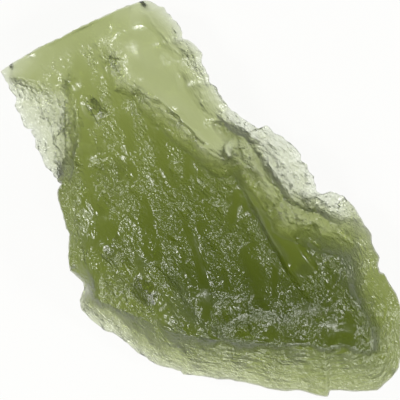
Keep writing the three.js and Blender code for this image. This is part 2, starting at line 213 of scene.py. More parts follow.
# %% Hills of chance, and a nibbled edge
def hills(x, y, seed):
    """Soft random hills, one unit across and between -1 and 1: random heights at whole places, with an
    eased blend between the four around each place."""
    column, row = np.floor(x).astype(int), np.floor(y).astype(int)
    heights = np.random.default_rng(seed).uniform(-1, 1, (256, 256))
    u, v = x - column, y - row
    u, v = u * u * (3 - 2 * u), v * v * (3 - 2 * v)
    at = lambda i, j: heights[(column + i) % 256, (row + j) % 256]
    return (at(0, 0) * (1 - u) + at(1, 0) * u) * (1 - v) + (at(0, 1) * (1 - u) + at(1, 1) * u) * v


NIBBLE_SIZES = (1.9, 0.8, 0.38)  # mm from one scallop to the next
NIBBLE_DEPTHS = (0.16, 0.13, 0.08)  # mm in and out
NIBBLES_END = 1.5  # mm of edge thickness, towards which the scallops get weaker
NIBBLE_RANGE = (0.35, 1.1)  # the weakest and the strongest
STILL_REACH = 0.6  # mm from a side's ends over which the scallops grow
BREAK_SHARE, FLANK_SHARE, BEVEL_SHARE = 0.05, 1, 0.7  # how much of the nibbling each side shows


def nibbled(side, values, seed, share):
    """The side with scallops: each place moves in or out by hills along the side, more where the edge is
    thin, and not at all at the side's two ends."""
    reach = reach_along(side)
    ahead = np.gradient(side, axis=0)
    inward = np.stack([-ahead[:, 1], ahead[:, 0]], axis=-1) / np.hypot(*ahead.T)[:, None]
    depth = sum(
        size * hills(reach / length, np.zeros_like(reach), seed + i)
        for i, (length, size) in enumerate(zip(NIBBLE_SIZES, NIBBLE_DEPTHS))
    )
    thin = np.clip(NIBBLES_END - values[:, 1], *NIBBLE_RANGE)
    held = np.clip(np.minimum(reach, reach[-1] - reach) / STILL_REACH, 0, 1)
    return side + (share * depth * thin * held)[:, None] * inward


end_side = nibbled(end_side, end_values, 11, BREAK_SHARE)
right_side = nibbled(right_side, right_values, 12, FLANK_SHARE)
foot_side = nibbled(foot_side, foot_values, 13, BEVEL_SHARE)
left_side = nibbled(left_side, left_values, 14, FLANK_SHARE)
print("the nibbled right side is", round(reach_along(right_side)[-1], 1), "mm long")

# %% [markdown]
# The grid could be spread straight between the nibbled sides, but their small bends would run through it.
# So it is spread between calmed sides and evened out, and gets the bends back near the edge alone. The print
# tells how many cells still fold: about fifty, a seventh of a square millimetre in all.

# %% The grid between the sides
CALMING_ROUNDS = 900
EVENING_ROUNDS = 1400
BEND_REACH = 54  # cells over which a small bend of the edge fades from the grid


def calmed(side):
    """The side without small bends: each place becomes a quarter of each neighbour and half of itself."""
    side = side.copy()
    for _ in range(CALMING_ROUNDS):
        side[1:-1] = (side[:-2] + 2 * side[1:-1] + side[2:]) / 4
    return side


def evened(table, rounds):
    """The table evened out: in each round a place inside it becomes the mean of its four neighbours."""
    for _ in range(rounds):
        table[1:-1, 1:-1] = (table[:-2, 1:-1] + table[2:, 1:-1] + table[1:-1, :-2] + table[1:-1, 2:]) / 4
    return table


def plan_grid(end, right, foot, left):
    """Places of the grid: along-length blend plus across blend less the blend of the corners, all evened
    out, and last the sides' small bends put back, fading inwards."""
    calm_end, calm_right, calm_foot, calm_left = map(calmed, (end, right, foot, left))
    u = np.linspace(0, 1, ROWS + 1)[:, None, None]
    v = np.linspace(0, 1, COLUMNS + 1)[None, :, None]
    along = calm_left[:, None] * (1 - v) + calm_right[:, None] * v
    across = calm_end[None] * (1 - u) + calm_foot[None] * u
    end_corners = calm_end[0] * (1 - v) + calm_end[-1] * v
    foot_corners = calm_foot[0] * (1 - v) + calm_foot[-1] * v
    grid = evened(along + across - (end_corners * (1 - u) + foot_corners * u), EVENING_ROUNDS)
    left_share, right_share = (np.clip(1 - way * COLUMNS / BEND_REACH, 0, 1) ** 2 for way in (v, 1 - v))
    end_share, foot_share = (np.clip(1 - way * ROWS / BEND_REACH, 0, 1) ** 2 for way in (u, 1 - u))
    grid += left_share * (left - calm_left)[:, None] + right_share * (right - calm_right)[:, None]
    grid += end_share * (end - calm_end)[None] + foot_share * (foot - calm_foot)[None]
    return grid


places = plan_grid(end_side, right_side, foot_side, left_side)
cell_across, cell_along = np.diff(places, axis=1)[:-1], np.diff(places, axis=0)[:, :-1]
cell_areas = cell_along[..., 0] * cell_across[..., 1] - cell_along[..., 1] * cell_across[..., 0]
print("grid cells:", cell_areas.size, "folded:", int((cell_areas <= 0).sum()))

# %% [markdown]
# The big forms come first: where the glass is thick, where flakes have left lower terraces with steep
# walls, where acid-smooth furrows run, and where two bowls meet in a crest. Boolean cuts could make them
# one by one, but on glass every cut would show its hard seam. As a sum of simple distances they melt into
# each other.

# %% Distances on the plan
def path_distance(place, path):
    """Distance to a path: to the nearest point of each of its straight pieces, and the least of those."""
    start, step = path[:-1], np.diff(path, axis=0)
    offset = place[..., None, :] - start
    share = np.clip((offset * step).sum(axis=-1) / (step**2).sum(axis=-1), 0, 1)
    return np.hypot(*np.moveaxis(offset - share[..., None] * step, -1, 0)).min(axis=-1)


def is_inside(place, border):
    """True inside a closed border: a level line from the place crosses it an odd number of times."""
    (ax, ay), (bx, by) = border.T, np.roll(border, -1, axis=0).T
    x, y = place[..., 0, None], place[..., 1, None]
    crosses = (ay > y) != (by > y)
    return (crosses & (x < ax + (bx - ax) * (y - ay) / (by - ay))).sum(axis=-1) % 2 == 1


def eased(share):
    """From 0 to 1 without a corner at either end: three times the square less twice the cube."""
    share = np.clip(share, 0, 1)
    return share * share * (3 - 2 * share)


NEAREST = 0.05  # mm, added to each distance so that none is nothing
NEARNESS_POWER = 4


def nearby_edge(place):
    """The edge's values at a place: a mean over all corners, each by one over a power of its distance."""
    gap = np.hypot(*np.moveaxis(place[..., None, :] - corner_places, -1, 0))
    weight = 1 / (gap + NEAREST) ** NEARNESS_POWER
    return (weight @ corner_values) / weight.sum(axis=-1)[..., None]


EVENING_OF_DISTANCE = 50  # rounds that take the creases out of the distance to the edge
RIM_STRIDE, BREAK_STRIDE = 3, 5  # places of an edge from one to the next that distances are measured to
edge_values = nearby_edge(places)
edge_values[0], edge_values[-1] = end_values, foot_values
edge_values[:, 0], edge_values[:, -1] = left_values, right_values
in_turn = np.moveaxis(edge_values, -1, 0)
edge_height, edge_thickness, shoulder_reach, shoulder_roundness, edge_wrinkles = in_turn
rim_path = np.vstack([end_side[:-1], right_side[:-1], foot_side[::-1][:-1], left_side[::-1]])
edge_distance = path_distance(places, rim_path[::RIM_STRIDE])
edge_distance[[0, -1]] = 0
edge_distance[:, [0, -1]] = 0
edge_distance = evened(edge_distance, EVENING_OF_DISTANCE)
print("deepest place inside the edge:", round(edge_distance.max(), 2), "mm")

# %% [markdown]
# A terrace is a step with a wall that climbs to the glass around it, a furrow is a trough, and a crease is a
# sharp crest. Each could have its own lines of code. Here each kind is a list of sizes in mm and places on
# the plan, and one rule makes all of a kind.

# %% The big forms of the upper face
THICKEST = 8.6
TAPER = 0.275  # lost for each mm away from the crest
THINNEST = 0.12
CREST = to_stone([(205, 285), (260, 300), (312, 300)])
TERRACES = {  # thickness, width of the wall, share of pits on the wall and on the floor, and the border
    "shelf": (2.2, 1.6, 1, 0, [
        (124, 30), (111, 40), (118, 54), (131, 77), (146, 91), (160, 104), (176, 118), (190, 130),
        (206, 145), (221, 156), (226, 148), (214, 134), (209, 121), (226, 117), (250, 100), (230, 40),
        (190, -10), (140, -12),
    ]),
    "upper_left": (2.4, 1.8, 0.3, 0.1, [
        (46, 44), (54, 54), (51, 70), (50, 86), (55, 106), (40, 120), (0, 120), (-20, 60), (30, 30),
    ]),
    "lower_left": (1.1, 1.9, 1, 0.6, [
        (50, 106), (54, 120), (55, 142), (54, 154), (50, 168), (46, 180), (36, 190), (0, 140), (0, 104),
    ]),
    "middle_step": (3.3, 1.5, 1, 0.9, [
        (238, 122), (246, 140), (251, 158), (263, 183), (276, 199), (289, 222), (312, 224), (340, 236),
        (360, 200), (300, 130), (250, 110),
    ]),
    "flange": (1, 0.8, 0.6, 0.8, [
        (226, 112), (240, 126), (257, 138), (264, 150), (272, 162), (282, 180), (300, 196), (320, 203),
        (344, 216), (380, 200), (330, 140), (270, 100),
    ]),
    "lower_corner": (4.8, 4.5, 0, 0, [
        (92, 296), (112, 304), (128, 316), (150, 334), (156, 352), (126, 350), (90, 345), (60, 310),
        (78, 292),
    ]),
    "lobe_top": (3, 0.5, 0.6, 0.4, [
        (92, 302), (108, 309), (122, 320), (128, 330), (126, 345), (90, 345), (60, 310), (78, 298),
    ]),
    "right_slope": (5.5, 0.9, 1, 0.3, [
        (346, 228), (352, 246), (360, 262), (362, 284), (368, 302), (378, 320), (384, 344), (420, 350),
        (420, 200), (350, 190),
    ]),
    "bevel": (5.5, 0.35, 1, 0.3, [
        (126, 330), (148, 340), (170, 344), (186, 340), (206, 347), (226, 343), (240, 350), (262, 346),
        (280, 351), (300, 345), (322, 351), (344, 347), (362, 352), (380, 350), (410, 352), (410, 420),
        (110, 420),
    ]),
}
FURROWS = [  # width, depth, how flat the floor is (1 is round), and the way it runs
    (2.6, 1, 2.2, [(236, 150), (254, 184), (266, 208), (279, 234), (294, 260), (318, 292)]),
    (1.8, 0.15, 1, [(213, 128), (222, 140), (236, 152)]),
    (1.8, 0.25, 1, [(237, 194), (233, 216), (227, 240)]),
    (1.6, 0.12, 1, [(242, 250), (249, 272), (259, 291)]),
    (1.6, 0.12, 1, [(274, 266), (272, 288), (279, 308)]),
    (1.8, 0.12, 1, [(148, 114), (152, 134), (149, 154)]),
    (1.8, 0.12, 1, [(191, 156), (187, 178), (183, 196)]),
    (2.0, 0.12, 1, [(193, 240), (203, 272), (207, 306), (200, 338)]),
    (1.6, 0.12, 1, [(139, 254), (142, 282)]),
]
FURROW_FADE = 1.3  # widths over which a furrow dies out at its far end
FLOOR_GAIN, FLOOR_START = 2.2, 0.7  # smooth skin is its share of depth times the one, less the other
CREASES = [  # width, height, and the way it runs
    (1.2, 0.4, [(258, 160), (270, 180), (284, 204), (298, 232)]),
    (2.4, 0.2, [(158, 58), (174, 86), (190, 104), (204, 112)]),
    (1.6, 0.5, [(220, 326), (236, 313), (256, 306), (282, 312)]),
    (1.4, 0.4, [(252, 214), (266, 238), (282, 262)]),
    (2.2, 0.2, [(166, 22), (176, 46), (194, 66), (206, 92)]),
]
SWELL_HEIGHT = 0.1
SWELL_LENGTHS = (5.2, 3.4)  # from crest to crest, along and across the stone
SWELL_SWAY = 0.7  # turn for each mm across, by which the waves get out of step
UPPER_PHASE, UNDER_PHASE = 0.4, 1.9


def swell(place, phase):
    """Broad waves: a sine along the stone, out of step by another sine, times a sine across it."""
    x, y = np.moveaxis(place, -1, 0)
    along, across = (2 * math.pi / length for length in SWELL_LENGTHS)
    return SWELL_HEIGHT * np.sin(along * x + phase + np.sin(SWELL_SWAY * y)) * np.sin(across * y + 2 * phase)


def strayed(place, depth, length, seed):
    """Places moved a little to the side, by hills of the given depth and length in each direction, so
    that a straight line met there runs as a crooked one."""
    return depth * np.stack([hills(*np.moveaxis(place, -1, 0) / length, seed + i) for i in (0, 1)], axis=-1)


CHIPS = [(0.26, 1.6, 41), (0.14, 0.6, 43)]  # depth, length from one chip of a border to the next, and seed
WALL_PITS_GAIN = 6  # share x (1 - share) is a quarter half way up a wall, so that the middle is fully pitted
LOW_WALL = 1.5  # a wall that is lower than this is less pitted


def terraced(place, thickness):
    """The thickness cut down to each terrace, and how rough the terraces are. A wall climbs evenly over
    its width outside the terrace's border and is roughest half way up."""
    place = place + sum([strayed(place, *chip) for chip in CHIPS])
    wall_mask = np.zeros(place.shape[:-1])
    for kept, wall, wall_pits, floor_pits, border in TERRACES.values():
        border = to_stone(border)
        away = path_distance(place, np.vstack([border, border[:1]]))
        share = np.where(is_inside(place, border), 1, np.clip(1 - away / wall, 0, 1))
        cut = np.minimum(kept, thickness)
        half_way = wall_pits * np.clip(WALL_PITS_GAIN * share * (1 - share), 0, 1)
        wall_mask = np.maximum(wall_mask, half_way * np.clip((thickness - cut) / LOW_WALL, 0, 1))
        wall_mask = np.maximum(wall_mask, floor_pits * (share == 1))
        thickness = thickness + (cut - thickness) * share
    return thickness, wall_mask


thickness = THICKEST - TAPER * path_distance(places, CREST)
thickness, wall_mask = terraced(places, thickness)
furrow_mask = np.zeros_like(thickness)
for width, depth, flatness, path in FURROWS:
    share = eased(flatness * (1 - path_distance(places, to_stone(path)) / (width / 2)))
    share *= eased(np.hypot(*np.moveaxis(places - to_stone(path[-1]), -1, 0)) / (FURROW_FADE * width))
    thickness -= depth * share
    furrow_mask = np.maximum(furrow_mask, eased(FLOOR_GAIN * share - FLOOR_START))
for width, height, path in CREASES:
    thickness += height * np.clip(1 - path_distance(places, to_stone(path)) / (width / 2), 0, None)
thickness += swell(places, UPPER_PHASE)
print("thickest before the pits:", round(thickness.max(), 2), "mm")

# %% [markdown]
# Etching works in bowls. Each pit grows round until it meets its neighbours, and a sharp ridge is left
# between them, which is what makes a moldavite glitter. Noise would give soft hills, the wrong way up. Here
# a pit is a small bowl around a random centre, and a place takes the deepest bowl above it. The bowls are
# drawn out along the flow of the glass, and the same rule is used at three sizes. The larger pits are
# listed one by one.

# %% Pits of every size
UPPER_PITS = [  # place on the plan, radius along and across the stone, depth in mm
    (102, 131, 0.8, 0.5, 0.3), (122, 150, 0.9, 0.6, 0.35), (138, 189, 1, 0.6, 0.45),
    (118, 216, 1.2, 0.9, 0.5), (160, 176, 0.9, 0.6, 0.4), (175, 170, 0.9, 0.6, 0.45),
    (97, 164, 0.9, 0.6, 0.35), (92, 196, 0.9, 0.7, 0.4), (106, 246, 0.9, 0.7, 0.4),
    (126, 264, 0.9, 0.6, 0.5), (160, 268, 1.4, 0.9, 0.5), (172, 286, 1, 0.7, 0.4), (136, 296, 1, 0.7, 0.55),
    (158, 300, 0.7, 0.6, 0.4), (161, 326, 1.1, 0.7, 0.55), (150, 214, 0.8, 0.6, 0.35),
    (176, 236, 1, 0.6, 0.4), (222, 210, 1, 0.7, 0.5), (214, 240, 0.9, 0.7, 0.5), (207, 190, 0.9, 0.6, 0.45),
    (228, 306, 1.2, 0.9, 0.6), (242, 326, 1.1, 0.8, 0.55), (262, 266, 0.9, 0.7, 0.5),
    (280, 274, 0.7, 0.5, 0.4), (311, 249, 0.9, 0.7, 0.5), (270, 328, 0.9, 0.7, 0.5),
    (317, 311, 0.8, 0.7, 0.45), (303, 291, 0.8, 0.6, 0.4), (332, 330, 0.9, 0.7, 0.45),
    (346, 312, 0.8, 0.6, 0.4), (340, 276, 0.9, 0.6, 0.4), (362, 330, 0.8, 0.7, 0.4),
    (186, 212, 0.8, 0.6, 0.4),
]
UNDER_PITS = [
    (70, 80, 1.4, 1, 0.5), (110, 60, 1.2, 0.9, 0.45), (96, 110, 1.5, 1, 0.5), (140, 96, 1.3, 0.9, 0.5),
    (88, 156, 1.2, 1, 0.5), (120, 172, 1.3, 0.9, 0.4), (176, 118, 1.2, 0.9, 0.45), (96, 214, 1.4, 1, 0.55),
    (112, 256, 1.2, 0.9, 0.5), (146, 292, 1.4, 1, 0.5), (130, 316, 1, 0.8, 0.4), (186, 334, 1.5, 1, 0.55),
    (240, 352, 1.4, 0.9, 0.5), (294, 350, 1.4, 1, 0.55), (344, 344, 1.3, 1, 0.5), (352, 296, 1.4, 1, 0.5),
    (318, 250, 1.3, 0.9, 0.5), (276, 206, 1.4, 1, 0.5), (230, 160, 1.3, 0.9, 0.45),
    (186, 78, 1.1, 0.8, 0.4),
]


def placed_pits(place, pits):
    """Depth of the listed pits: each is a bowl with a soft rim, the deepest depth times the
    square of (1 - distance squared)."""
    x, y = np.moveaxis(place, -1, 0)
    depth = np.zeros_like(x)
    for (pit_x, pit_y), (_, _, along, across, deepest) in zip(to_stone([pit[:2] for pit in pits]), pits):
        inside = np.clip(1 - ((x - pit_x) / along) ** 2 - ((y - pit_y) / across) ** 2, 0, 1)
        depth = np.maximum(depth, deepest * inside**2)
    return depth


SHALLOWEST = 0.25  # share of the full depth
SMALLEST, SIZE_SPAN = 0.5, 0.4  # radius in unit squares, and how much more it can be


def close_set_pits(along, across, seed):
    """Bowls side by side, from 0 to 1: one random centre in each unit square, with its own radius and
    depth, and at each place the deepest of the nine bowls around. A bowl is 1 less the square of
    distance over radius."""
    column, row = np.floor(along).astype(int), np.floor(across).astype(int)
    tables = np.random.default_rng(seed).random((4, 256, 256))
    depth = np.zeros_like(along)
    for i in (-1, 0, 1):
        for j in (-1, 0, 1):
            u, v, size, deep = (table[(column + i) % 256, (row + j) % 256] for table in tables)
            reach = (along - column - i - u) ** 2 + (across - row - j - v) ** 2
            bowl = 1 - reach / (SMALLEST + SIZE_SPAN * size) ** 2
            depth = np.maximum(depth, (SHALLOWEST + (1 - SHALLOWEST) * deep) * bowl)
    return depth


FLOW_TURN = math.radians(-18)  # the flow's lean from the stone's length
FLOW_WANDER, WANDER_LENGTH = 0.5, 4  # mm
PIT_SIZES = [(1.9, 0.9, 0.2), (0.9, 0.5, 0.12), (0.46, 0.28, 0.13)]  # spacing along and across, depth, mm
UPPER_SEED, UNDER_SEED = 31, 61


def flow_place(place, seed):
    """A place in millimetres along and across the flow, which wanders a little to either side."""
    x, y = np.moveaxis(place, -1, 0)
    along = x * math.cos(FLOW_TURN) + y * math.sin(FLOW_TURN)
    wander = FLOW_WANDER * hills(x / WANDER_LENGTH, y / WANDER_LENGTH, seed)
    return along, y * math.cos(FLOW_TURN) - x * math.sin(FLOW_TURN) + wander


def etched(place, seed):
    """Depth of the etching, in mm: three sizes of close-set pits, drawn out along the flow."""
    along, across = flow_place(place, seed + 50)
    return sum(
        depth * close_set_pits(along / long, across / wide, seed + i)
        for i, (long, wide, depth) in enumerate(PIT_SIZES)
    )


print("placed pits above and below:", len(UPPER_PITS), len(UNDER_PITS))

# %% [markdown]
# Not all of the skin is pitted. The clean break and the band behind it, the shelf, the furrows and a few
# bare patches are glossy, and between the pitted fields the etching comes and goes. One mask holds this,
# from 0 where the glass is smooth to 1 where it is rough. It scales the pits here, and the material reads
# it again later.

# %% Where the skin is smooth
PITTED_MEAN, PITTED_GROWTH = 0.8, 0.005  # how pitted it is, and how much more for each mm along
PITTED_FIELDS = [(0.8, 2.4, 0.9, 71), (0.5, 1, 0.4, 72)]  # strength, mm along and across the flow, and seed
LEAST_PITTED = 0.03
BREAK_BAND = dict(reach=1.5, fade=1.2, left=0.06)  # smooth within this reach in mm, and the pits left there
SHELF_BAND = dict(reach=2.1, fade=0.9, left=0.12)
SHELF_FLOOR = to_stone([(140, 20), (150, 60), (166, 84), (186, 104), (200, 120)])
FURROW_SMOOTHNESS = 0.93


def beyond(distance, reach, fade, left):
    """The share of the pits at a distance: what is left within the reach, eased up to all of them."""
    return left + (1 - left) * eased((distance - reach) / fade + 0.5)


def skin_mask(place):
    """How pitted the upper face is, 0 to 1: broad and narrow hills of chance, less the smooth places."""
    along, across = flow_place(place, 81)
    pitted = PITTED_MEAN + PITTED_GROWTH * place[..., 0]
    for strength, long, wide, seed in PITTED_FIELDS:
        pitted = pitted + strength * hills(along / long, across / wide, seed)
    pitted = np.clip(pitted, LEAST_PITTED, 1)
    pitted *= beyond(path_distance(place, end_side[::BREAK_STRIDE]), **BREAK_BAND)
    pitted *= beyond(path_distance(place, SHELF_FLOOR), **SHELF_BAND)
    pitted *= 1 - FURROW_SMOOTHNESS * furrow_mask
    return np.maximum(pitted, wall_mask)


LEAST_PLACED, PLACED_GAIN = 0.05, 0.75  # a placed pit's share of depth on smooth skin, and what it can gain
LEAST_ETCHED, WALL_GAIN = 0.03, 2.4  # the same share for close-set pits, and what they gain on walls
THICK_GLASS, THIN_SHARE = 2, 0.32  # mm under which the pits get shallower, and the least share of them
pitted = skin_mask(places)
thickness -= placed_pits(places, UPPER_PITS) * (LEAST_PLACED + PLACED_GAIN * pitted)
etching = LEAST_ETCHED + pitted * (1 + WALL_GAIN * wall_mask)
thickness -= etching * np.clip(thickness / THICK_GLASS, THIN_SHARE, 1) * etched(places, UPPER_SEED)
print("share of the upper face that is smooth:", round(float((pitted < 0.3).mean()), 2))

# %% [markdown]
# Where flakes have split off, the glass ends in thin steps and cracks that look like dark lines from above.
# They could be painted on, but a painted line has no glint. Here each is a narrow groove with a sharp floor
# that follows a crooked line, which is how they catch the light on the stone.

# %% Cracks and the shoulder of the edge
CRACKS = [  # width and depth in mm, and the way it runs
    (0.24, 0.12, [(55, 50), (53, 60), (52, 72), (49, 86)]),
    (0.3, 0.28, [(142, 10), (150, 20), (160, 30), (172, 48), (178, 53)]),
    (0.3, 0.2, [(110, 40), (120, 32), (124, 31)]),
    (0.4, 0.4, [(208, 122), (215, 121), (232, 121), (240, 127), (258, 138)]),
    (0.5, 0.4, [(262, 172), (274, 192), (286, 212), (298, 236)]),
    (0.3, 0.25, [(257, 150), (262, 160), (268, 172)]),
    (0.3, 0.35, [(333, 235), (338, 241), (345, 250)]),
    (0.2, 0.1, [(30, 92), (36, 104), (44, 116), (50, 132), (56, 152), (66, 166)]),
    (0.2, 0.1, [(16, 88), (24, 98), (33, 110), (43, 128), (47, 146)]),
    (0.28, 0.2, [(266, 140), (278, 150), (286, 164), (298, 174), (306, 186)]),
    (0.28, 0.25, [(301, 183), (312, 192), (326, 200), (340, 206)]),
    (0.26, 0.2, [(240, 120), (252, 131), (262, 144)]),
    (0.4, 0.6, [(146, 98), (160, 110), (172, 121), (186, 133), (198, 144), (210, 154), (222, 159)]),
    (0.34, 0.5, [(156, 98), (170, 109), (182, 120), (194, 131), (206, 142)]),
    (0.4, 0.6, [(56, 104), (60, 118), (62, 132), (65, 146), (68, 158)]),
    (0.34, 0.5, [(61, 108), (65, 120), (68, 136), (70, 150)]),
]
CRACK_STRAY = (0.22, 0.7, 81)  # mm to either side, mm from one bend to the next, and seed
HEALED = 0.6  # share of its depth that the etching has left of each crack
crooked = places + strayed(places, *CRACK_STRAY)
for width, depth, path in CRACKS:
    thickness -= HEALED * depth * np.clip(1 - path_distance(crooked, to_stone(path)) / (width / 2), 0, 1)

shoulder = 1 - (1 - np.clip(edge_distance / shoulder_reach, 0, 1)) ** shoulder_roundness
thickness = edge_thickness + (thickness - edge_thickness) * shoulder
thickness = np.maximum(thickness, THINNEST)
print("cracks:", len(CRACKS), "- thickest glass:", round(thickness.max(), 2), "mm")

# %% [markdown]
# The underside is hidden in any view from above, but light comes through it, so it is as finished as the
# top. It climbs slowly from the worn flat spot that the stone rests on, then faster near the edge, with its
# own pits.

# %% The underside
RESTING_PATH = to_stone([(166, 188), (256, 270)])
RESTING_RADIUS = 2.5
UNDER_CLIMB = 0.038
UNDER_CURVE = 1.55  # power of the distance from the resting spot
UNDER_SHOULDER = 5  # mm, the margin where the underside climbs to the edge
WORN_SHARE = 0.45  # how much of the etching is left on the resting spot
UNDER_LEAST, UNDER_POWER = 0.02, 1.5  # least etching, and the power of the upper face's mask that it follows
DEEPEST_SHARE = 0.35  # of the glass's thickness that a pit of the underside may take

away = np.maximum(path_distance(places, RESTING_PATH) - RESTING_RADIUS, 0)
loose = np.clip(away, 0, 1)
relief = swell(places, UNDER_PHASE) + placed_pits(places, UNDER_PITS)
underside = UNDER_CLIMB * away**UNDER_CURVE + loose * relief
margin = eased(edge_distance / UNDER_SHOULDER)
underside = edge_height - edge_thickness / 2 + (underside - edge_height + edge_thickness / 2) * margin
under_pitted = UNDER_LEAST + (1 - UNDER_LEAST) * pitted**UNDER_POWER
under_etching = under_pitted * (WORN_SHARE + (1 - WORN_SHARE) * loose) * etched(places, UNDER_SEED)
upper = underside + thickness
underside = np.maximum(underside, 0) + np.minimum(under_etching, DEEPEST_SHARE * thickness)
print("height:", round(upper.max(), 2), "mm, thinnest glass:", round((upper - underside).min(), 3), "mm")

# %% [markdown]
# The two faces meet in a narrow wall around the edge. A flat strip would look cut, so the wall is a few
# rows high, bulges a little and ripples as broken glass does. The grids and the wall share their points, so
# the mesh is closed from the start and needs no joining.

# %% The wall around the edge
WALL_ROWS = 8
WALL_BULGE, BULGE_LIMIT = 0.18, 0.9  # share of the edge's thickness, and the most mm of it that count
WALL_RIPPLE, RIPPLE_LIMIT = 0.05, 1  # the same for the ripples
RIPPLE_SPACING, RIPPLES_DOWN = 5, 5  # points of the rim to a ripple, and ripples down the wall
count = (ROWS + 1) * (COLUMNS + 1)
number = np.arange(count).reshape(ROWS + 1, COLUMNS + 1)
ring = np.concatenate([number[0, :-1], number[:-1, -1], number[-1, :0:-1], number[:0:-1, 0]])
upper_points = np.concatenate([places, upper[..., None]], axis=-1).reshape(-1, 3)
under_points = np.concatenate([places, underside[..., None]], axis=-1).reshape(-1, 3)


def wall_points(top, bottom):
    """Rows between the two faces: each place goes straight down, and out by the bulge times the sine of
    a half turn on the way, and by the ripple."""
    ahead = np.roll(top, -3, axis=0) - np.roll(top, 3, axis=0)
    outward = np.stack([ahead[:, 1], -ahead[:, 0]], axis=-1) / np.hypot(ahead[:, 0], ahead[:, 1])[:, None]
    middle = outline.mean(axis=0)
    outward *= np.sign((outward * (top[:, :2] - middle)).sum(axis=-1).sum())
    share = np.arange(1, WALL_ROWS)[:, None] / WALL_ROWS
    height = (top[:, 2] - bottom[:, 2])[None]
    bulge = WALL_BULGE * np.minimum(height, BULGE_LIMIT) * np.sin(math.pi * share)
    around = np.arange(len(top))[None] / RIPPLE_SPACING + 0 * share
    down = RIPPLES_DOWN * share + 0 * height
    ripple = WALL_RIPPLE * hills(around, down, 95) * np.minimum(height, RIPPLE_LIMIT)
    rows = np.empty((WALL_ROWS - 1, len(top), 3))
    rows[..., :2] = top[None, :, :2] + (bulge + ripple)[..., None] * outward[None]
    rows[..., 2] = top[None, :, 2] - share * height
    return rows.reshape(-1, 3)


wall = wall_points(upper_points[ring], under_points[ring])
corners = np.vstack([upper_points, under_points, wall])
print("points:", len(corners))

# %% [markdown]
# Cells with four corners would bend over the pits, so each becomes two flat triangles that face outwards.
# The signed volume tells whether they do: it is the stone's volume if so, and less than nothing if not.

# %% The faces of the stone
def quads(a, b, c, d):
    """Two triangles for each four corners given in turn."""
    a, b, c, d = (np.ravel(side) for side in (a, b, c, d))
    return np.vstack([np.stack([a, b, c], axis=-1), np.stack([a, c, d], axis=-1)])


top_faces = quads(number[:-1, :-1], number[1:, :-1], number[1:, 1:], number[:-1, 1:])
under_faces = top_faces[:, ::-1] + count
rings = np.vstack([ring, 2 * count + np.arange(len(wall)).reshape(WALL_ROWS - 1, -1), ring + count])
beside = np.roll(rings, -1, axis=1)
wall_faces = quads(rings[:-1], beside[:-1], beside[1:], rings[1:])
faces = np.vstack([top_faces, under_faces, wall_faces])
first, second, third = (corners[column] for column in faces.T)
volume = np.einsum("ij,ij->i", first, np.cross(second, third)).sum() / 6
print("triangles:", len(faces), "volume:", round(volume), "cubic mm")


def stone_mesh(name, corners, faces):
    """A mesh from arrays of corners in mm and of triangles, smooth-shaded."""
    mesh = bpy.data.meshes.new(name)
    mesh.from_pydata(corners * MM, [], faces, shade_flat=False)
    mesh.validate()
    return mesh


stone = bpy.data.objects.new("moldavite_glass_stone", stone_mesh("moldavite_glass_stone", corners, faces))
bpy.context.scene.collection.objects.link(stone)

# %% [markdown]
# The material needs to know where the skin is pitted and how near the edge is. Painting maps would tie it
# to one picture size. The mesh carries both as plain numbers on its points instead.

# %% What the mesh tells the material
def carry(mesh, name, upper_values, under_values):
    """A number on each point: the upper face's, the underside's, and on the wall the upper edge's."""
    on_wall = np.tile(upper_values.ravel()[ring], WALL_ROWS - 1)
    attribute = mesh.attributes.new(name, "FLOAT", "POINT")
    numbers = np.concatenate([upper_values.ravel(), under_values.ravel(), on_wall])
    attribute.data.foreach_set("value", numbers)


FLAT_ENOUGH, TOO_STEEP = 2, 5  # rise over run, between which the finest skin fades


def evenness(height):
    """1 where a face is level enough for the finest skin, 0 where it is steep, from the grid's slopes."""
    along, across = np.gradient(places, axis=(0, 1))
    rise_along, rise_across = np.gradient(height)
    area = along[..., 0] * across[..., 1] - along[..., 1] * across[..., 0]
    slope_x = (rise_along * across[..., 1] - rise_across * along[..., 1]) / area
    slope_y = (rise_across * along[..., 0] - rise_along * across[..., 0]) / area
    return np.clip((TOO_STEEP - np.hypot(slope_x, slope_y)) / (TOO_STEEP - FLAT_ENOUGH), 0, 1)


level_or_wall = np.maximum(evenness(upper), wall_mask)
carry(stone.data, "pitted", pitted * level_or_wall, under_pitted * evenness(underside))
WRINKLE_FADE = 1.2  # mm beyond the shoulder of the edge
UNDER_WRINKLES = 0.3  # share of the upper face's wrinkles that the underside has
wrinkled = edge_wrinkles * np.clip(1 + (shoulder_reach - edge_distance) / WRINKLE_FADE, 0, 1)
carry(stone.data, "wrinkled", wrinkled, UNDER_WRINKLES * wrinkled)
carry(stone.data, "edge_distance", edge_distance, edge_distance)
print("numbers on the points:", [item.name for item in stone.data.attributes if item.data_type == "FLOAT"])

# %% [markdown]
# Etched glass has a skin finer than any mesh can hold: hair-thin flow lines and needle-point pits that
# scatter white sparks. This effect goes into a node group with named inputs, so that its strength and size
# can be set where it is used. It puts out a bump normal and a roughness.

# %% The etched skin
SKIN_INPUTS = {
    "Pitted": 1.0, "Wrinkled": 0.0, "Edge distance mm": 9.0, "Grain size mm": 0.25, "Grain depth mm": 0.25,
    "Line depth mm": 0.01, "Wrinkle depth mm": 0.35, "Smooth roughness": 0.277, "Pitted roughness": 0.28,
}
GRAIN_STRETCH = 0.7  # fineness of the grain along the flow, against across it
LINE_STRETCH = (0.5, 2.2, 2.2)  # the flow lines are longer and thinner than the grain
LINE_FINENESS = 2.4
WRINKLE_FINENESS = (0.9, 3.2)  # wrinkles to a mm, along the edge and away from it


